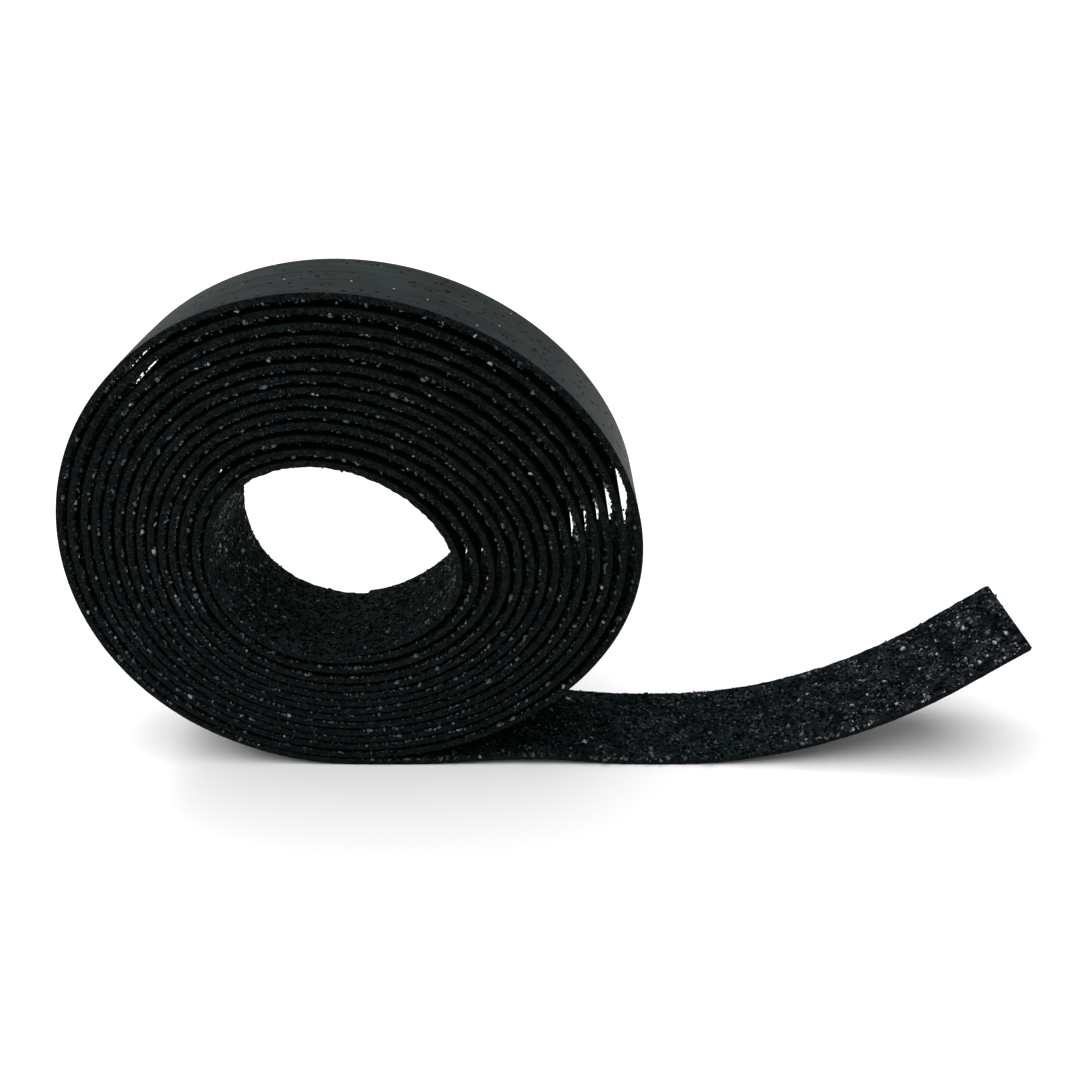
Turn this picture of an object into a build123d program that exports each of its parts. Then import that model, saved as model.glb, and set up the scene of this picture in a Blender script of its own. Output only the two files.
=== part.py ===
from build123d import *
from math import atan, cos, degrees, radians
import os

os.makedirs("parts", exist_ok=True)

# A strip of rubber with a coat of coarse grit on one face, wound grit side in.
# The roll stands on its edge: the winding axis is Y, and the strip's free outer
# end, the tail, lies along +X. The origin is on the floor, at the middle of the
# flat patch where the outer turn rests. Lengths are millimetres, angles degrees.

# The strip
strip_width = 25.0
rubber_thickness = 1.15
grit_thickness = 0.25
strip_thickness = rubber_thickness + grit_thickness

# The open core, measured to the grit face of the first turn
core_radius = 21.5
core_ovality = 1.85
core_tilt = -14.0
core_egg = 0.7
core_egg_direction = -7.0

# The winding, from the strip's inner end outwards
turns = 14
start_angle = 275.0
turn_gap = 0.82
gap_lean = 0.39
gap_lean_direction = 51.0
gap_ovality = 0.115
gap_tilt = 8.0
loose_turns = [(2.2, 0.7), (9.0, 0.5), (12.4, 0.9)]
loose_spread = 1.6
bend_step = 15.0

# The flat patch under the outer turn, and the low arch that follows it
patch_length = 8.0
arch_length = 53.0
arch_height = 1.25

# The tail: a flat stretch, an upward curl of one radius, and a straight tip
flat_length = 3.0
curl_radius = 100.0
curl_sweep = 36.4
curl_segments = 4
tip_length = 15.0

# Both free ends bend at hinge lines, each with a narrow slit through the strip
hinge_slit = 0.3
half_slit = hinge_slit / 2.0

# The inner end, pared down towards its tip so that no step shows in the core
inner_end_sweep = 34.0
pared_thickness = 0.35


def wave(angle, direction=0.0, count=1):
    return cos(radians(count * (angle - direction)))


def eased(share):
    share = min(max(share, 0.0), 1.0)
    return share * share * (3.0 - 2.0 * share)


def loosened(turn):
    """Turns wound so far, as the gaps count them: the loose turns have wider gaps."""
    extra = sum(amount for _, amount in loose_turns)
    steps = sum(amount * eased((turn - place) / loose_spread + 0.5) for place, amount in loose_turns)
    return turn * (1.0 - extra / turns) + steps


def face_distance(angle):
    """From the core's centre to the line that touches the smooth face at an angle."""
    turn = (angle - start_angle) / 360.0
    core = (core_radius + core_ovality * wave(angle, core_tilt, 2)
            + core_egg * wave(angle, core_egg_direction, 3))
    gap = (turn_gap + gap_lean * wave(angle, gap_lean_direction)
           + gap_ovality * wave(angle, gap_tilt, 2))
    return core + strip_thickness * (turn + 1.0) + gap * loosened(turn)


def face_drift(angle, step=0.05):
    """How fast that distance grows, per radian."""
    return (face_distance(angle + step) - face_distance(angle - step)) / radians(2.0 * step)


def bend_radius(first, last):
    """The smooth face's mean radius of curvature between two angles."""
    middle = face_distance((first + last) / 2.0)
    mean = (face_distance(first) + 4.0 * middle + face_distance(last)) / 6.0
    return mean + (face_drift(last) - face_drift(first)) / radians(last - first)


# A station is a place on the strip's smooth face: x, z and the heading of the
# strip. The grit is on the left of the heading. A bend turns left with a
# positive radius and sweep, and right when both are negative.
def bend(start, radius, sweep):
    x, z, heading = start
    end = heading + sweep
    return (x + radius * (wave(end, 90.0) - wave(heading, 90.0)),
            z - radius * (wave(end) - wave(heading)), end)


def run(start, length):
    x, z, heading = start
    return x + length * wave(heading), z + length * wave(heading, 90.0), heading


def bent(start, radius, sweep):
    return [start, bend(start, radius, sweep / 2.0), bend(start, radius, sweep)]


def straight(start, length):
    return [start, run(start, length)]


def face_point(station, depth):
    """The point at a depth under the smooth face, towards the grit."""
    x, z, heading = station
    return x - depth * wave(heading, 90.0), z + depth * wave(heading)


def face_points(span, depth, tip_share):
    """The points of one span, whose depth grows evenly from a share of it at the tip."""
    steps = len(span) - 1
    return [face_point(station, depth * (tip_share + (1.0 - tip_share) * step / steps))
            for step, station in enumerate(span)]


def make_layer(name, spans, near_depth, far_depth, tip_share):
    """One layer of a length of strip, between two depths under the smooth face."""
    near_face = [face_points(span, near_depth, tip_share) for span in spans]
    far_face = [face_points(span, far_depth, tip_share) for span in spans]
    lines = [(ThreePointArc if len(points) == 3 else Line)(*points, mode=Mode.PRIVATE)
             for points in near_face + far_face]
    with BuildPart() as layer:
        with BuildSketch(Plane.XZ):
            with BuildLine():
                add(lines)
                Line(near_face[0][0], far_face[0][0])
                Line(near_face[-1][-1], far_face[-1][-1])
            make_face()
        extrude(amount=strip_width / 2.0, both=True)
    layer.part.label = name
    export_step(layer.part, f"parts/{name}.step")


def make_strip(name, spans, tip_share=1.0):
    make_layer(f"{name}_rubber", spans, 0.0, rubber_thickness, tip_share)
    make_layer(f"{name}_grit", spans, rubber_thickness, strip_thickness, tip_share)


# The winding is walked backwards, from where it meets the patch to its inner
# end, as a chain of tangent arcs between these angles
end_angle = 270.0 + 360.0 * turns
inner_hinge_angle = start_angle + inner_end_sweep
inner_half_slit = degrees(half_slit / core_radius)
slit_angles = [inner_hinge_angle - inner_half_slit, inner_hinge_angle + inner_half_slit]
whole_steps = int((end_angle - slit_angles[1]) // bend_step)
wound_angles = ([start_angle] + slit_angles
                + [end_angle - bend_step * step for step in range(whole_steps, -1, -1)])

patch_start = (-patch_length / 2.0, 0.0, end_angle + 90.0)
wound_spans = []
station = patch_start
for first, last in zip(wound_angles[-2::-1], wound_angles[:0:-1]):
    backwards = bent(station, bend_radius(first, last), first - last)
    station = backwards[-1]
    wound_spans.insert(0, backwards[::-1])

# The arch is two mirrored halves, each a left bend and a right bend
arch_slope = degrees(2.0 * atan(2.0 * arch_height / arch_length))
arch_radius = arch_length / (4.0 * wave(arch_slope, 90.0))
arch_half_slit = degrees(half_slit / arch_radius)
curl_half_slit = degrees(half_slit / curl_radius)
curl_step = curl_sweep / curl_segments

# Inner end: the first stretch of the first turn
make_strip("inner_end", wound_spans[:1], pared_thickness / strip_thickness)

# Coil: all the other turns, the flat patch and the rising half of the arch
patch = straight(patch_start, patch_length)
arch_rise = bent((patch_length / 2.0, 0.0, 0.0), arch_radius, arch_slope)
arch_top = bent(arch_rise[-1], -arch_radius, arch_half_slit - arch_slope)
make_strip("coil", wound_spans[2:] + [patch, arch_rise, arch_top])

# Tail root: the falling half of the arch and the flat stretch
crest = bend(arch_rise[-1], -arch_radius, -arch_slope)
root_start = bend(crest, -arch_radius, -arch_half_slit)
arch_fall = bent(root_start, -arch_radius, arch_half_slit - arch_slope)
arch_foot = bent(arch_fall[-1], arch_radius, arch_slope)
make_strip("tail_root", [arch_fall, arch_foot, straight(arch_foot[-1], flat_length - half_slit)])

# Curl: equal lengths of one round bend
curl_start = run(arch_foot[-1], flat_length)
for number in range(curl_segments):
    segment_start = bend(curl_start, curl_radius, curl_step * number + curl_half_slit)
    segment = bent(segment_start, curl_radius, curl_step - 2.0 * curl_half_slit)
    make_strip(f"curl_{number + 1}", [segment])

# Tip: the straight end, cut square
curl_end = bend(curl_start, curl_radius, curl_sweep)
make_strip("tail_tip", [straight(run(curl_end, half_slit), tip_length - half_slit)])
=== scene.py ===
import math

import bmesh
import bpy
import numpy as np
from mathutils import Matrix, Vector


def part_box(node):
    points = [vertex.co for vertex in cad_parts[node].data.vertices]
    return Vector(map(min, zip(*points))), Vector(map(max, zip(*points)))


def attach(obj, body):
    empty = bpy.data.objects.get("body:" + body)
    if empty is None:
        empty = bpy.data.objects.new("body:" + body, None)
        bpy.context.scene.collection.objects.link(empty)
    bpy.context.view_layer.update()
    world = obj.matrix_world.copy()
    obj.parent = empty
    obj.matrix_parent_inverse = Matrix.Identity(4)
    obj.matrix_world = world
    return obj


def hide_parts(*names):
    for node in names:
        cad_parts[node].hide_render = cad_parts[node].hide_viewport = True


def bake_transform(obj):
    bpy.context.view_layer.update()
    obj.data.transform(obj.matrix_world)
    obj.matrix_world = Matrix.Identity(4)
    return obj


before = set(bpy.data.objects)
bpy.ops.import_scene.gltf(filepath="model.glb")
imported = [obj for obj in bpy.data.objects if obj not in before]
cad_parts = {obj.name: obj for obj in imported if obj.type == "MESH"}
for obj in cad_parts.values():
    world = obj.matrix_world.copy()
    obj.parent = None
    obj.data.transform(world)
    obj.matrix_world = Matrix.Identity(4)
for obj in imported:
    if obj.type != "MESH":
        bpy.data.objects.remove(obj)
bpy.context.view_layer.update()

# The strip is handled in millimetres along its run, across its width and in
# depth, which is counted from the smooth outer face towards the grit.
MM = 0.001
LENGTHS = ("inner_end", "coil", "tail_root", "curl_1", "curl_2", "curl_3", "curl_4", "tail_tip")
HALF_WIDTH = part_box("coil_rubber")[1].y / MM
STRIP_THICKNESS = 1.4
BED_DEPTH = 1.28
PARED_SHARE = 0.25
STATION = 0.5
FULL_TURN = 2 * math.pi

# The first turn is the core's wall; the grit is tinted as the core's a little beyond it
FIRST_TURN_END = 150.0
CORE_GRIT_END = 200.0
LAST_TURN = 345.0


# ---------------------------------------------------------------- the strip's run

def rim_loop(node):
    """The closed outline of a node's near cut edge: (x, z) in mm, counter-clockwise."""
    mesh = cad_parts[node].data
    spots = np.empty(len(mesh.vertices) * 3)
    mesh.vertices.foreach_get("co", spots)
    spots = spots.reshape(-1, 3) / MM
    near = spots[:, 1].min() + 0.001
    follow = {}
    for face in mesh.polygons:
        ring = list(face.vertices)
        if all(spots[v, 1] < near for v in ring):
            keys = [(round(spots[v, 0], 3), round(spots[v, 2], 3)) for v in ring]
            for a, b in zip(keys, keys[1:] + keys[:1]):
                follow.setdefault(a, set()).add(b)
    edge = {a: [b for b in ends if a not in follow.get(b, ())] for a, ends in follow.items()}
    edge = {a: ends[0] for a, ends in edge.items() if ends}
    loop = [next(iter(edge))]
    while edge[loop[-1]] != loop[0]:
        loop.append(edge[loop[-1]])
    return np.array(loop)


def long_sides(loop):
    """The two long sides between the outline's four square corners."""
    before = loop - np.roll(loop, 1, axis=0)
    after = np.roll(loop, -1, axis=0) - loop
    turn = np.arctan2(before[:, 0] * after[:, 1] - before[:, 1] * after[:, 0], (before * after).sum(1))
    corners = list(np.nonzero(turn > math.radians(50))[0])
    sides = []
    for first, last in zip(corners, corners[1:] + [corners[0] + len(loop)]):
        sides.append(loop[np.arange(first, last + 1) % len(loop)])
    lengths = [np.hypot(*np.diff(side, axis=0).T).sum() for side in sides]
    order = np.argsort(lengths)
    return sides[order[-1]], sides[order[-2]]


def strip_run():
    """Points along the whole smooth face, and how far along it each hinge line is."""
    points, hinges = None, []
    for name in LENGTHS:
        side, other = long_sides(rim_loop(name + "_rubber"))
        if points is not None:
            end = points[-1]
            if np.hypot(*(other[0] - end)) < np.hypot(*(side[0] - end)):
                side = other
            walked = np.hypot(*np.diff(points, axis=0).T).sum()
            hinges.append(walked + np.hypot(*(side[0] - end)) / 2)
            points = np.vstack([points, side])
        else:
            points = side
    return points, hinges


def smooth_run(points, step):
    """Even stations on the smooth curve through the points: place, heading and distance."""
    gaps = np.hypot(*np.diff(points, axis=0).T)
    along = np.concatenate([[0], np.cumsum(gaps)])
    slopes = np.diff(points, axis=0) / gaps[:, None]
    inner = (gaps[1:, None] * slopes[:-1] + gaps[:-1, None] * slopes[1:]) / (gaps[1:] + gaps[:-1])[:, None]
    tangents = np.vstack([2 * slopes[:1] - inner[:1], inner, 2 * slopes[-1:] - inner[-1:]])
    stations = np.linspace(0, along[-1], int(round(along[-1] / step)) + 1)
    k = np.clip(np.searchsorted(along, stations, "right") - 1, 0, len(gaps) - 1)
    t = ((stations - along[k]) / gaps[k])[:, None]
    h = gaps[k][:, None]
    p0, p1, m0, m1 = points[k], points[k + 1], tangents[k] * h, tangents[k + 1] * h
    place = ((2 * t**3 - 3 * t**2 + 1) * p0 + (t**3 - 2 * t**2 + t) * m0
             + (3 * t**2 - 2 * t**3) * p1 + (t**3 - t**2) * m1)
    heading = ((6 * t**2 - 6 * t) * p0 + (3 * t**2 - 4 * t + 1) * m0
               + (6 * t - 6 * t**2) * p1 + (3 * t**2 - 2 * t) * m1)
    heading /= np.hypot(*heading.T)[:, None]
    return stations, place, heading


run_points, hinge_runs = strip_run()
stations, places, headings = smooth_run(run_points, STATION)
STRIP_LENGTH = stations[-1]
# Where the outermost turn begins; the turns inside it are given painted shade on their smooth face
OUTER_TURN_START = hinge_runs[1] - LAST_TURN


def at(run):
    """The smooth face's place and heading at distances along the run."""
    place = np.column_stack([np.interp(run, stations, places[:, c]) for c in (0, 1)])
    heading = np.column_stack([np.interp(run, stations, headings[:, c]) for c in (0, 1)])
    return place, heading / np.hypot(*heading.T)[:, None]


def pared(run):
    """The share of the full thickness: the inner end thins out towards its tip."""
    return PARED_SHARE + (1 - PARED_SHARE) * np.clip(run / hinge_runs[0], 0, 1)


def spot(run, across, depth):
    """Points of the strip in the row's frame, in metres."""
    place, heading = at(run)
    depth = depth * pared(run) + hollowed(run, across)
    x = place[:, 0] - depth * heading[:, 1]
    z = place[:, 1] + depth * heading[:, 0]
    return np.column_stack([x, across, z]) * MM


CENTRING_RUN = 140.0
UNWOUND_RUN = 40.0
WIDEST_GAP = 2.5


def turn_gaps():
    """Distance between a turn's grit face and the turn inside it, at every station."""
    middle = places[stations < CENTRING_RUN].mean(0)
    out = places - middle
    angle = np.unwrap(np.arctan2(out[:, 1], out[:, 0]))
    radius = np.hypot(*out.T)
    wound = stations < hinge_runs[1] - UNWOUND_RUN
    inner = np.interp(angle - FULL_TURN, angle[wound], radius[wound], left=np.nan)
    gap = np.where(wound, radius - inner - STRIP_THICKNESS, 0.0)
    return angle, np.clip(np.nan_to_num(gap), 0.0, WIDEST_GAP)


angles, gaps = turn_gaps()


def gap_at(run):
    return np.interp(run, stations, gaps)


def leftward(run):
    """1 on the roll's left side, 0 on its right side."""
    return np.interp(run, stations, (1 - np.cos(angles)) / 2)


# The turns are not quite straight across their width. A bulge, by turns wound so far:
# how far the mid-width lies inside the rims, so minus is outwards.
LEFT_BULGE = ((1, 0), (3, -0.8), (7, -0.8), (9, -0.65), (11, -0.5), (13, -0.35), (14, 0))
RIGHT_BULGE = ((1, 0), (3, -0.65), (6, -0.5), (8, -0.3), (10, -0.15), (12, 0))

# A lean of the innermost turns into the core, at its left side and foot: mm inwards
# at each rim, by place round the turn, where 1 is the foot. These turns stand in
# further than the CAD's do.
NEAR_RIM_LEAN = ((0.65, 0), (0.76, 0.2), (0.86, 0.9), (1.0, 1.5), (1.1, 1.4), (1.2, 1.2),
                 (1.3, 0.4), (1.4, 0))
FAR_RIM_LEAN = ((0.6, 0), (0.76, 2.1), (0.84, 2.8), (0.92, 2.9), (1.0, 2.5), (1.1, 2.0), (1.2, 1.0),
                (1.3, 0.4), (1.4, 0))
LEAN_BY_TURN = ((1, 1), (2, 0.6), (3, 0.3), (4, 0.1), (5, 0))
LEAN_FADE = ((1.0, 1.0), (1.3, 0.0))


def read_off(values, table):
    """The heights, at some values, of a line drawn through a table's points."""
    return np.interp(values, *zip(*table))


def hollowed(run, across):
    """How far in the strip lies, towards the roll's axis, against a straight winding."""
    turn = np.interp(run, stations, angles - angles[0]) / FULL_TURN
    bulge = leftward(run) * read_off(turn, LEFT_BULGE) + (1 - leftward(run)) * read_off(turn, RIGHT_BULGE)
    return bulge * np.clip(1 - (across / HALF_WIDTH) ** 2, 0, 1) + core_lean(turn, across)


def core_lean(turn, across):
    """How far the innermost turns lean into the core, the far rim more than the near rim."""
    nearest = np.round(turn)
    place = np.where(nearest < 1, turn + 1, turn - nearest + 1)
    share = read_off(nearest, LEAN_BY_TURN) * read_off(place, LEAN_FADE)
    far_share = (across / HALF_WIDTH + 1) / 2
    lean = read_off(place, NEAR_RIM_LEAN) * (1 - far_share) + read_off(place, FAR_RIM_LEAN) * far_share
    return np.where(nearest < 1, 1.0, share) * lean


def lumps(seed, run, across, size):
    """Soft random heights between -1 and 1 over the unrolled strip, size mm across."""
    table = np.random.default_rng(seed).uniform(-1, 1, (4096, 64))
    u, v = run / size, (across + 2 * HALF_WIDTH) / size
    i, j = np.floor(u).astype(int), np.floor(v).astype(int)
    fu, fv = u - i, v - j
    fu, fv = fu * fu * (3 - 2 * fu), fv * fv * (3 - 2 * fv)
    a, b, c, d = (table[(i + p) % 4096, (j + q) % 64] for p, q in ((0, 0), (1, 0), (0, 1), (1, 1)))
    return (a * (1 - fu) + b * fu) * (1 - fv) + (c * (1 - fu) + d * fu) * fv


# ---------------------------------------------------------------- shader building

class Value:
    """A shader socket that takes part in sums as a number does."""

    def __init__(self, maker, socket):
        self.maker, self.socket = maker, socket

    def sum(self, operation, *values):
        return self.maker.add("ShaderNodeMath", {"operation": operation}, *values)

    def __add__(self, other):
        return self.sum("ADD", self, other)

    def __sub__(self, other):
        return self.sum("SUBTRACT", self, other)

    def __rsub__(self, other):
        return self.sum("SUBTRACT", other, self)

    def __mul__(self, other):
        return self.sum("MULTIPLY", self, other)

    __radd__, __rmul__ = __add__, __mul__

    def clamped(self, low, high):
        """0 below low, 1 above high, smooth between."""
        settings = {"interpolation_type": "SMOOTHSTEP"}
        return self.maker.add("ShaderNodeMapRange", settings, self, low, high, 0.0, 1.0)


class Finish:
    """A material made of nodes, ending in one Principled shader."""

    def __init__(self, name, **constants):
        self.material = bpy.data.materials.new(name)
        self.material.use_nodes = True
        self.tree = self.material.node_tree
        self.shader = self.tree.nodes["Principled BSDF"]
        for socket, value in constants.items():
            self.shader.inputs[socket.replace("_", " ")].default_value = value

    def add(self, kind, settings=None, *values, out=0, **named):
        """One node: its type, its settings, then the values or links of its sockets."""
        node = self.tree.nodes.new(kind)
        for key, value in (settings or {}).items():
            setattr(node, key, value)
        for key, value in [*enumerate(values), *named.items()]:
            socket = node.inputs[key.replace("_", " ") if isinstance(key, str) else key]
            if isinstance(value, Value):
                self.tree.links.new(value.socket, socket)
            elif value is not None:
                socket.default_value = value
        return Value(self, node.outputs[out])

    def feed(self, socket, value):
        self.tree.links.new(value.socket, self.shader.inputs[socket])

    def place(self):
        return self.add("ShaderNodeTexCoord", out="Object")

    def run(self):
        """Distance along the strip, in metres."""
        return self.add("ShaderNodeAttribute", {"attribute_name": "run"}, out="Fac")

    def along_strip(self, run_scale, width_scale):
        """A pattern place that is stretched along the strip."""
        across = self.add("ShaderNodeSeparateXYZ", None, self.place(), out="Y")
        return self.add("ShaderNodeCombineXYZ", None, self.run() * run_scale, across * width_scale, 0.0)

    def noise(self, place, scale, detail=3.0, roughness=0.55):
        return self.add("ShaderNodeTexNoise", {"noise_dimensions": "3D"}, Vector=place, Scale=scale,
                        Detail=detail, Roughness=roughness)

    def cells(self, place, scale):
        return self.add("ShaderNodeTexVoronoi", {"feature": "F1"}, Vector=place, Scale=scale)

    def mix(self, factor, low, high):
        """A colour between two, which may be colours or sockets."""
        node = self.tree.nodes.new("ShaderNodeMix")
        node.data_type = "RGBA"
        for key, value in (("Factor", factor), ("A", low), ("B", high)):
            socket = next(s for s in node.inputs if s.name == key and s.enabled and
                          (key == "Factor" or s.type == "RGBA"))
            if isinstance(value, Value):
                self.tree.links.new(value.socket, socket)
            else:
                socket.default_value = value
        return Value(self, next(s for s in node.outputs if s.type == "RGBA"))

    def bump(self, height, strength, distance):
        normal = self.add("ShaderNodeBump", None, Strength=strength, Distance=distance, Height=height)
        self.feed("Normal", normal)


def smooth_face_finish():
    """Satin rubber with faint streaks along the strip, pinholes, a few pale specks and painted shade
    darkening the inner turns.
    """
    f = Finish("smooth_rubber_face", Specular_IOR_Level=0.055)
    streaks = f.noise(f.along_strip(22.0, 900.0), 1.0, 4.0, 0.6)
    cloud = f.noise(f.place(), 90.0, 2.0)
    fine = f.noise(f.place(), 2600.0, 3.0)
    pinhole = 1.0 - f.cells(f.place(), 560.0).clamped(0.16, 0.28)
    pinhole = pinhole * f.noise(f.place(), 260.0, 1.0).clamped(0.44, 0.52)
    speck = 1.0 - f.cells(f.place(), 330.0).clamped(0.045, 0.085)
    speck = speck * f.noise(f.place(), 150.0, 1.0).clamped(0.48, 0.53)
    tone = streaks.clamped(0.32, 0.68) * 0.8 + cloud.clamped(0.3, 0.7) * 0.35
    colour = f.mix(tone, (0.0035, 0.0068, 0.0069, 1), (0.0225, 0.029, 0.029, 1))
    # Painted shade: the turns inside the outermost one are painted darker and made rougher
    inner_turns = 1.0 - f.run().clamped(OUTER_TURN_START * MM - 0.004, OUTER_TURN_START * MM)
    colour = f.mix(inner_turns, colour, (0.0016, 0.003, 0.0033, 1))
    colour = f.mix(pinhole, colour, (0.0008, 0.0008, 0.0008, 1))
    f.feed("Base Color", f.mix(speck, colour, (0.45, 0.45, 0.45, 1)))
    f.feed("Roughness", streaks * 0.4 + fine * 0.1 + pinhole * 0.4 + inner_turns * 0.4 + 0.3)
    f.bump(fine * 0.25 + streaks * 0.2 - pinhole * 1.5, 0.35, 0.00012)
    return f.material


def cut_edge_finish():
    """Granular near-black rubber where the strip was slit to width."""
    f = Finish("cut_rubber_edge", Specular_IOR_Level=0.03)
    grain = f.noise(f.place(), 2200.0, 4.0, 0.7)
    patch = f.noise(f.place(), 500.0, 2.0)
    fleck = 1.0 - f.cells(f.place(), 1800.0).clamped(0.16, 0.36)
    fleck = fleck * f.noise(f.place(), 900.0, 2.0).clamped(0.48, 0.6)
    hole = 1.0 - f.cells(f.place(), 1400.0).clamped(0.18, 0.34)
    hole = hole * f.noise(f.place(), 610.0, 2.0).clamped(0.46, 0.56)
    tone = grain.clamped(0.42, 0.6) * 0.9 + patch * 0.3
    colour = f.mix(tone, (0.0004, 0.001, 0.0013, 1), (0.0069, 0.0104, 0.0113, 1))
    colour = f.mix(fleck * 0.9, colour, (0.042, 0.049, 0.051, 1))
    f.feed("Base Color", f.mix(hole, colour, (0.0004, 0.0007, 0.001, 1)))
    f.feed("Roughness", patch * 0.25 + 0.6)
    f.bump(grain + fleck * 0.5 - hole * 0.8, 0.7, 0.00015)
    return f.material


def grit_bed_finish():
    """Slate rubber between the grains, with dust, patches of painted sheen and pits painted near-black as
    shade: olive in the core, blue at the free end.
    """
    f = Finish("grit_bed", Specular_IOR_Level=0.005)
    swirl = f.noise(f.place(), 700.0, 4.0, 0.6)
    dust = f.noise(f.place(), 3200.0, 3.0, 0.65)
    # Pits: sunk by the bump, and painted near-black as the shade inside them
    pit = 1.0 - f.cells(f.place(), 1000.0).clamped(0.26, 0.5)
    pit = pit * f.noise(f.place(), 480.0, 2.0).clamped(0.4, 0.5)
    pit = pit + f.noise(f.place(), 1350.0, 2.0, 0.5).clamped(0.55, 0.64)
    # Painted sheen: lighter patches mixed into the bed colour
    painted_sheen = f.noise(f.place(), 300.0, 2.0).clamped(0.46, 0.62)
    run = f.run()
    free_end = run.clamped(STRIP_LENGTH * MM - 0.12, STRIP_LENGTH * MM)
    past_core = run.clamped(0.14, 0.17)
    streak = swirl.clamped(0.3, 0.7)
    slate = f.mix(streak, (0.0022, 0.0052, 0.0054, 1), (0.0074, 0.0118, 0.0122, 1))
    blue = f.mix(streak, (0.0018, 0.0031, 0.005, 1), (0.006, 0.0081, 0.0112, 1))
    olive = f.mix(streak, (0.0052, 0.0096, 0.0094, 1), (0.0105, 0.0162, 0.0156, 1))
    slate = f.mix(past_core, olive, slate)
    colour = f.mix(painted_sheen * 0.55, f.mix(free_end, slate, blue), (0.016, 0.0222, 0.0226, 1))
    colour = f.mix(dust.clamped(0.6, 0.8) * 0.6, colour, (0.03, 0.038, 0.042, 1))
    f.feed("Base Color", f.mix(pit, colour, (0.0004, 0.0008, 0.0011, 1)))
    f.feed("Roughness", swirl * 0.3 + pit * 0.2 + 0.45)
    f.bump(swirl * 0.6 + dust * 0.2 - pit * 1.2, 0.6, 0.0002)
    return f.material


def grain_finish(name, shade, roughness, gloss):
    f = Finish(name, Base_Color=(*shade, 1), Roughness=roughness, Specular_IOR_Level=gloss)
    return f.material


SMOOTH, EDGE, BED = 0, 1, 2
strip_finishes = [smooth_face_finish(), cut_edge_finish(), grit_bed_finish()]
# The pale and bright grains are painted light: lit copies and glints of the same dark glossy grit
grain_finishes = [
    grain_finish("black_grain", (0.001, 0.002, 0.0026), 0.45, 0.06),
    grain_finish("slate_grain", (0.0125, 0.0185, 0.021), 0.4, 0.2),
    grain_finish("painted_lit_grain", (0.05, 0.06, 0.065), 0.35, 0.4),
    grain_finish("painted_glint_grain", (0.24, 0.25, 0.255), 0.3, 0.5),
]


# ---------------------------------------------------------------- meshes

def make_mesh(name, points, faces, kinds, finishes, run=None):
    """A mesh object from numpy tables; faces is a list of equal-sided face tables."""
    mesh = bpy.data.meshes.new(name)
    loops = np.concatenate([table.ravel() for table in faces])
    sizes = np.concatenate([np.full(len(table), table.shape[1]) for table in faces])
    mesh.vertices.add(len(points))
    mesh.vertices.foreach_set("co", points.astype(np.float32).ravel())
    mesh.loops.add(len(loops))
    mesh.loops.foreach_set("vertex_index", loops.astype(np.int32))
    mesh.polygons.add(len(sizes))
    starts = np.concatenate([[0], np.cumsum(sizes)[:-1]])
    mesh.polygons.foreach_set("loop_start", starts.astype(np.int32))
    mesh.polygons.foreach_set("material_index", np.concatenate(kinds).astype(np.int32))
    for finish in finishes:
        mesh.materials.append(finish)
    mesh.update(calc_edges=True)
    if run is not None:
        along = mesh.attributes.new("run", "FLOAT", "POINT")
        along.data.foreach_set("value", (run * MM).astype(np.float32))
    piece = bpy.data.objects.new(name, mesh)
    bpy.context.scene.collection.objects.link(piece)
    return piece


EDGE_ROUND = 0.14
CORNER_ROUND = 0.6
EDGE_ROWS = (0.3, 0.52, 0.75, 0.98)


def profile(bed_columns):
    """The strip's section, counter-clockwise: width, depth and the finish of each side."""
    w, r, top = HALF_WIDTH, EDGE_ROUND, BED_DEPTH
    smooth = [(y, 0.0) for y in (-w + r, -w + 1.0, -w / 2, 0.0, w / 2, w - 1.0, w - r)]
    far = [(w - 0.3 * r, 0.3 * r)] + [(w, d) for d in (r, *EDGE_ROWS, top - r)]
    bed = [(y, top) for y in bed_columns[::-1]]
    near = [(-w, d) for d in (top - r, *EDGE_ROWS[::-1], r)] + [(-w + 0.3 * r, 0.3 * r)]
    kinds = ([SMOOTH] * (len(smooth) - 1) + [EDGE] * (len(far) + 1)
             + [BED] * (len(bed) - 1) + [EDGE] * (len(near) + 1))
    table = np.array(smooth + far + bed + near)
    return table[:, 0], table[:, 1], np.array(kinds)


# Where the grit bed has points across its width: few where it is covered, many where seen
SPARSE_BED = [-HALF_WIDTH + g for g in (0.12, 0.6, 1.1, 1.7, 2.5)]
SPARSE_BED = SPARSE_BED + [-4.0, 4.0] + [-y for y in SPARSE_BED[::-1]]
CLOSE_BED = list(np.linspace(-HALF_WIDTH + 0.12, HALF_WIDTH - 0.12, 46))


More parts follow.
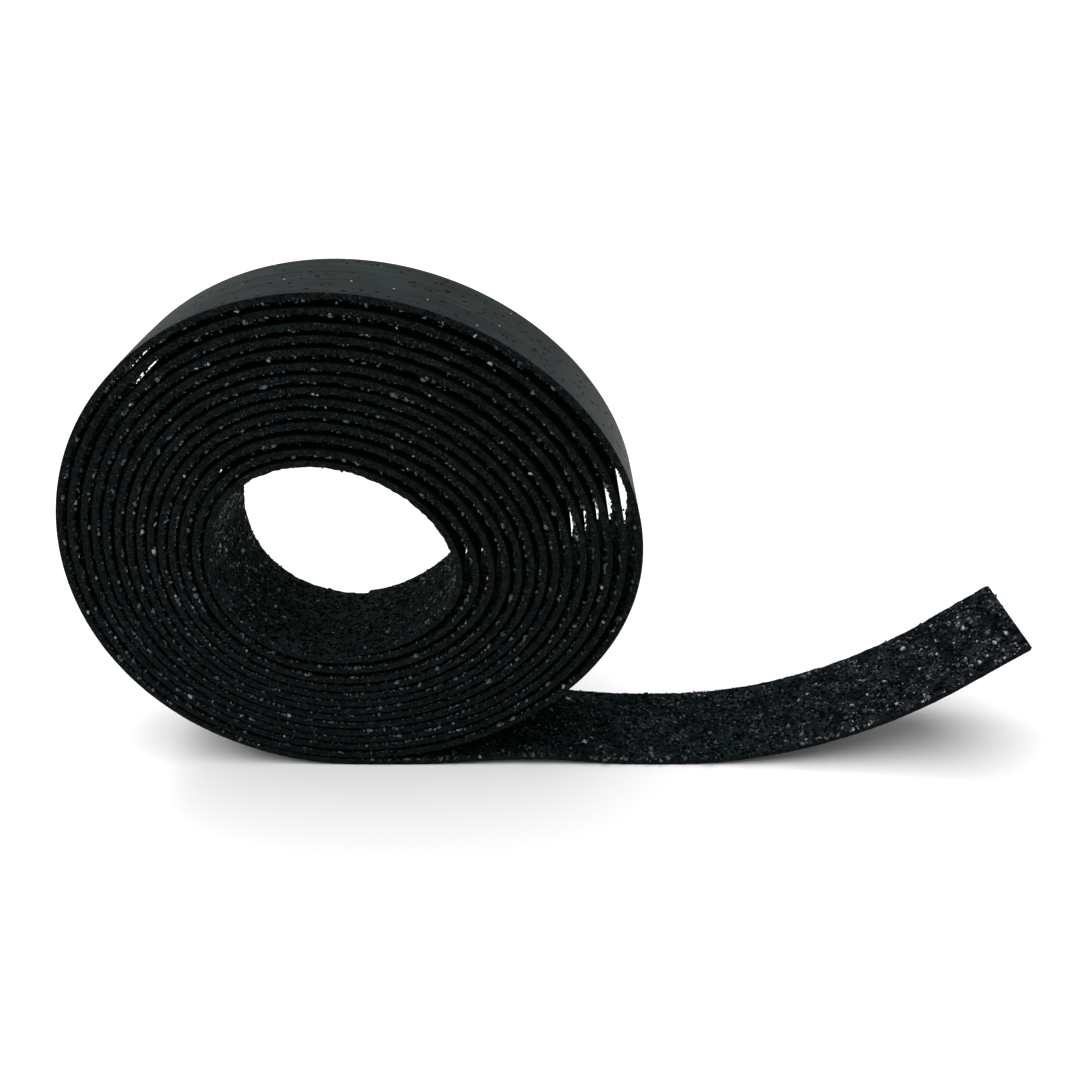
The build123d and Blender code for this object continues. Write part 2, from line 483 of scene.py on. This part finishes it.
def strip_piece(name, first, last, bed_columns):
    """A closed length of strip, with granular cut edges and a lumpy grit bed."""
    y, d, kinds = profile(bed_columns)
    inside = stations[(stations > first + 0.05) & (stations < last - 0.05)]
    run = np.concatenate([[first], inside, [last]])
    n, m = len(run), len(y)
    s = np.repeat(run, m)
    across, depth = np.tile(y, n), np.tile(d, n)
    on_edge = np.abs(across) > HALF_WIDTH - 0.5 * EDGE_ROUND
    on_bed = depth >= BED_DEPTH
    rim = np.clip(1.0 - (HALF_WIDTH - np.abs(across)) / 0.6, 0, 1)
    side = np.sign(across)
    rough = (lumps(11, s, depth * 9 + side * 5, 0.7) * 0.05
             + lumps(12, s, depth * 9 - side * 5, 1.7) * 0.035)
    across = across + np.where(on_edge, side * (rough - 0.03), 0.0)
    bumps = (lumps(21, s, across, 1.1) * 0.06 + lumps(22, s, across, 0.62) * 0.035
             + lumps(23, s, across, 3.1) * 0.03)
    bumps = bumps + rim * lumps(24, s, side * 9, 0.8) * 0.17
    depth = depth + np.where(on_bed, bumps, 0.0)
    r = CORNER_ROUND
    ends = (STRIP_LENGTH - last < 0.01) * np.clip(r - (last - s), 0, r)
    ends = ends + (first < 0.01) * np.clip(r - (s - first), 0, r)
    across = across * (1 - (r - np.sqrt(np.clip(r * r - ends**2, 0, 1))) / HALF_WIDTH)
    s = s + (s >= STRIP_LENGTH - 0.01) * lumps(25, across, depth * 4, 0.9) * 0.16
    points = spot(s, across, depth)
    i, j = np.meshgrid(np.arange(n - 1), np.arange(m), indexing="ij")
    i, j = i.ravel(), j.ravel()
    k = (j + 1) % m
    quads = np.column_stack([i * m + j, i * m + k, (i + 1) * m + k, (i + 1) * m + j])
    caps = np.array([np.arange(m)[::-1], (n - 1) * m + np.arange(m)])
    piece = make_mesh(name, points, [quads, caps], [np.tile(kinds, n - 1), np.array([EDGE, EDGE])],
                      strip_finishes, s)
    piece.data.polygons.foreach_set("use_smooth", np.ones(len(quads) + 2, bool))
    piece.data.set_sharp_from_angle(angle=math.radians(55))
    return piece


GRAIN_CORNERS = 8


def grain_shapes(count):
    """Faceted stones, each the hull of a few scattered points."""
    dice = np.random.default_rng(5)
    shapes, faces = [], []
    while len(shapes) < count:
        points = dice.normal(size=(GRAIN_CORNERS, 3))
        points /= np.linalg.norm(points, axis=1)[:, None]
        points *= dice.uniform(0.85, 1.1, (GRAIN_CORNERS, 1))
        solid = bmesh.new()
        corners = [solid.verts.new(p) for p in points]
        for index, corner in enumerate(corners):
            corner.index = index
        bmesh.ops.convex_hull(solid, input=corners)
        sides = [[v.index for v in face.verts] for face in solid.faces]
        if len(sides) == 2 * GRAIN_CORNERS - 4 and all(len(side) == 3 for side in sides):
            middle = points.mean(0)
            fixed = []
            for a, b, c in sides:
                normal = np.cross(points[b] - points[a], points[c] - points[a])
                fixed.append((a, b, c) if normal @ (points[a] - middle) > 0 else (a, c, b))
            shapes.append(points)
            faces.append(fixed)
        solid.free()
    return np.array(shapes), np.array(faces)


stone_points, stone_faces = grain_shapes(24)


# Grains per square millimetre, grains per millimetre of rim, and how deep they may reach
FULL_GRIT = 2.2
RIM_GRAINS = 3.0
TALLEST = 1.8
MEDIAN_GRAIN = 0.28
GRAIN_SIZES = (0.11, 0.62)
BLACK, SLATE, PALE, BRIGHT = 0, 1, 2, 3


def grit_density(run, across, open_face):
    """Grains per square millimetre: full where the grit is seen, thin deep between turns."""
    rim = HALF_WIDTH - np.abs(across)
    hidden = np.where(rim < 2.0, 1.0, np.where(rim < 5.0, 0.45, 0.3))
    clump = np.clip(0.5 + 1.1 * lumps(31, run, across, 2.4), 0.12, 1.0)
    return FULL_GRIT * clump * np.where(open_face, 1.0, hidden)


def grain_tones(dice, run, across):
    """Which finish each grain has: more pale and bright grains, painted glints, at the rims, at the core's
    two sides and at the free end.
    """
    rim = np.clip(1 - (HALF_WIDTH - np.abs(across)) / 0.7, 0, 1)
    outer = np.clip((run - hinge_runs[1]) / (STRIP_LENGTH - hinge_runs[1]), 0, 1)
    near_rim = rim * (across < 0)
    in_core = run < CORE_GRIT_END
    # Painted glints: pale and bright grains gather at the rims, the core's two sides and towards the free
    # end
    core_ends = np.where(in_core, (2 * leftward(run) - 1) ** 4, 0)
    bright = (np.where(in_core, 0.004, 0.012) + 0.03 * core_ends + 0.035 * rim
              + (0.1 + 0.15 * near_rim) * outer ** 4)
    pale = np.where(in_core, 0.04, 0.1) + 0.3 * core_ends + 0.26 * rim + 0.14 * outer
    pick = dice.uniform(0, 1, len(run))
    slate = np.where(in_core, 0.25 + 0.4 * core_ends, 0.55 + 0.4 * outer)
    tone = np.where(pick < slate, SLATE, BLACK)
    return np.where(pick < bright, BRIGHT, np.where(pick < bright + pale, PALE, tone))


def grain_piece(name, first, last, open_face, seed):
    """The grains on a length of the grit bed, bedded about halfway in."""
    dice = np.random.default_rng(seed)
    tries = int((last - first) * 2 * HALF_WIDTH * FULL_GRIT)
    run = dice.uniform(first, last, tries)
    across = dice.uniform(-HALF_WIDTH + 0.1, HALF_WIDTH - 0.1, tries)
    keep = dice.uniform(0, FULL_GRIT, tries) < grit_density(run, across, open_face)
    run, across = run[keep], across[keep]
    inner_count = len(run)
    for side in (-1, 1):
        edge_run = dice.uniform(first, last, int((last - first) * RIM_GRAINS))
        clump = 0.45 + 1.2 * lumps(33 + side, edge_run, edge_run * 0, 2.2)
        bunched = dice.uniform(0, 1, len(edge_run)) < clump
        if open_face and (side > 0 or last < CORE_GRIT_END):
            bunched &= dice.uniform(0, 1, len(edge_run)) < 0.3
        edge_run = edge_run[bunched]
        inset = np.abs(dice.normal(0.08, 0.2, len(edge_run)))
        run = np.concatenate([run, edge_run])
        across = np.concatenate([across, side * (HALF_WIDTH - inset)])
    count = len(run)
    size = np.clip(dice.lognormal(math.log(MEDIAN_GRAIN), 0.42, count), *GRAIN_SIZES)
    size[inner_count:] *= 1.1
    size *= np.interp(run, (hinge_runs[1] - 60, hinge_runs[1]), (1.0, 1.15))
    if open_face:
        clean_rim = (np.abs(across) > HALF_WIDTH - 0.8) & ((across > 0) | (run < CORE_GRIT_END))
        size = np.where(clean_rim, 0.6 * size, size)
    shape = dice.integers(0, len(stone_points), count)
    tone = grain_tones(dice, run, across)
    stretch = size[:, None] * dice.uniform((0.9, 0.75, 0.6), (1.45, 1.1, 0.95), (count, 3))
    spin = dice.normal(size=(count, 4))
    spin /= np.linalg.norm(spin, axis=1)[:, None]
    w, x, y, z = spin.T
    turn = np.array([[1 - 2 * (y * y + z * z), 2 * (x * y - w * z), 2 * (x * z + w * y)],
                     [2 * (x * y + w * z), 1 - 2 * (x * x + z * z), 2 * (y * z - w * x)],
                     [2 * (x * z - w * y), 2 * (y * z + w * x), 1 - 2 * (x * x + y * y)]]).transpose(2, 0, 1)
    corners = np.einsum("nij,nkj->nki", turn, stone_points[shape])
    yaw = dice.uniform(0, math.pi, count)
    corners = corners * stretch[:, None, :]
    swung = np.stack([corners[:, :, 0] * np.cos(yaw)[:, None] - corners[:, :, 1] * np.sin(yaw)[:, None],
                      corners[:, :, 0] * np.sin(yaw)[:, None] + corners[:, :, 1] * np.cos(yaw)[:, None],
                      corners[:, :, 2]], axis=2)
    centre = BED_DEPTH + size * dice.uniform(-0.25, 0.4, count)
    if not open_face:
        room = BED_DEPTH + np.maximum(TALLEST - BED_DEPTH, 0.55 * gap_at(run))
        lifted = dice.uniform(0, 1, count) < 0.04 + 0.5 * leftward(run)
        lift = lifted * np.maximum(gap_at(run) - 0.8, 0)
        centre = np.minimum(centre + lift, room - swung[:, :, 2].max(1))
    s = (run[:, None] + swung[:, :, 0]).ravel()
    a = (across[:, None] + swung[:, :, 1]).ravel()
    d = (centre[:, None] + swung[:, :, 2]).ravel()
    place, heading = at(np.repeat(run, GRAIN_CORNERS))
    step = s - np.repeat(run, GRAIN_CORNERS)
    d = d - BED_DEPTH * (1 - pared(np.repeat(run, GRAIN_CORNERS)))
    d = d + hollowed(np.repeat(run, GRAIN_CORNERS), np.repeat(across, GRAIN_CORNERS))
    points = np.column_stack([place[:, 0] + step * heading[:, 0] - d * heading[:, 1], a,
                              place[:, 1] + step * heading[:, 1] + d * heading[:, 0]]) * MM
    faces = stone_faces[shape] + (np.arange(count) * GRAIN_CORNERS)[:, None, None]
    return make_mesh(name, points, [faces.reshape(-1, 3)], [np.repeat(tone, stone_faces.shape[1])],
                     grain_finishes)


# ---------------------------------------------------------------- pieces

def hinge_spot(number, offset):
    """A point on the grit face near a hinge line, offset mm along the strip."""
    run, across, depth = hinge_runs[number] + offset, 0.0, STRIP_THICKNESS
    return Vector(spot(np.array([run]), np.array([across]), np.array([depth]))[0])


def lay(name, first, last, open_face, seed, body=None, bend=None, stands_for=()):
    """A length of strip with its grains, riding on one body, or, where it spans a hinge between two, fixed
    where it lies and attached to neither.
    """
    strip = strip_piece(name + "_strip", first, last, CLOSE_BED if open_face else SPARSE_BED)
    grains = grain_piece(name + "_grains", first, last, open_face, seed)
    for piece, layer in ((strip, "rubber"), (grains, "grit")):
        if bend:
            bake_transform(piece)
        else:
            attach(piece, body)
        if stands_for:
            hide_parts(*[f"{node}_{layer}" for node in stands_for])


BEND_REACH = 7.0
inner_hinge, root_hinge, *curl_hinges = hinge_runs
lay("inner_end", 0.0, inner_hinge + BEND_REACH, True, 101, stands_for=["inner_end"],
    bend=("coil", "inner_end", hinge_spot(0, BEND_REACH - 1), hinge_spot(0, 1 - BEND_REACH)))
lay("first_turn", inner_hinge + BEND_REACH, FIRST_TURN_END, True, 102, body="coil", stands_for=["coil"])
tail_start = root_hinge - BEND_REACH - 10
coil_ends = np.linspace(FIRST_TURN_END, tail_start, 5)
for number, (first, last) in enumerate(zip(coil_ends, coil_ends[1:]), 1):
    lay(f"turns_{number}", first, last, False, 110 + number, body="coil")
tail_bodies = ["coil", "tail_root", "curl_1", "curl_2", "curl_3", "curl_4", "tail_tip"]
tail_hinges = [root_hinge, *curl_hinges]
middles = [tail_start] + [(a + b) / 2 for a, b in zip(tail_hinges, tail_hinges[1:])] + [STRIP_LENGTH]
for number, hinge in enumerate(tail_hinges):
    near, far = tail_bodies[number], tail_bodies[number + 1]
    reach = 0.9 * min(hinge - middles[number], middles[number + 1] - hinge)
    lay(f"tail_{number + 1}", middles[number], middles[number + 1], True, 130 + number, stands_for=[far],
        bend=(near, far, hinge_spot(number + 1, -reach), hinge_spot(number + 1, reach)))


# ---------------------------------------------------------------- floor, light, camera

def make_floor():
    mesh = bpy.data.meshes.new("floor")
    reach = 4.0
    corners = [(x * reach, y * reach, -2e-5) for x, y in ((-1, -1), (1, -1), (1, 1), (-1, 1))]
    mesh.from_pydata(corners, [], [(0, 1, 2, 3)])
    floor = bpy.data.objects.new("floor", mesh)
    bpy.context.scene.collection.objects.link(floor)
    f = Finish("pale_floor", Base_Color=(0.92, 0.92, 0.92, 1), Roughness=0.9, Specular_IOR_Level=0.1)
    mesh.materials.append(f.material)


def soft_light(name, place, aim, size, radiance):
    """A square soft box, given by how bright its face is."""
    lamp = bpy.data.lights.new(name, "AREA")
    lamp.size = size
    lamp.energy = radiance * math.pi * size * size
    holder = bpy.data.objects.new(name, lamp)
    holder.location = place
    holder.rotation_euler = (Vector(aim) - Vector(place)).to_track_quat("-Z", "Y").to_euler()
    bpy.context.scene.collection.objects.link(holder)


def broad_light(name, towards, spread, strength):
    """An even light from one side of the ceiling, spread over a wide angle."""
    lamp = bpy.data.lights.new(name, "SUN")
    lamp.angle = spread
    lamp.energy = strength
    holder = bpy.data.objects.new(name, lamp)
    holder.rotation_euler = (-Vector(towards)).to_track_quat("-Z", "Y").to_euler()
    bpy.context.scene.collection.objects.link(holder)


def studio_walls(brightness):
    world = bpy.data.worlds.new("studio")
    world.use_nodes = True
    world.node_tree.nodes["Background"].inputs["Color"].default_value = (1, 1, 1, 1)
    world.node_tree.nodes["Background"].inputs["Strength"].default_value = brightness
    bpy.context.scene.world = world


make_floor()
studio_walls(0.36)
broad_light("overhead", (-0.2, -0.08, 1.0), math.radians(80), 3.2)
soft_light("glint", (-0.25, 0.2, 0.5), (0.02, 0, 0.03), 0.12, 12.0)

camera_data = bpy.data.cameras.new("camera")
camera_data.sensor_width = 36.0
camera_data.lens = 40.05
camera_data.shift_x = 12 / 1080
camera_data.clip_start = 0.01
camera = bpy.data.objects.new("camera", camera_data)
camera.location = (0.0306, -0.2173, 0.1549)
camera.rotation_euler = (math.radians(90 - 26.5), 0, 0)
bpy.context.scene.collection.objects.link(camera)
bpy.context.scene.camera = camera
bpy.context.scene.view_settings.view_transform = "Standard"
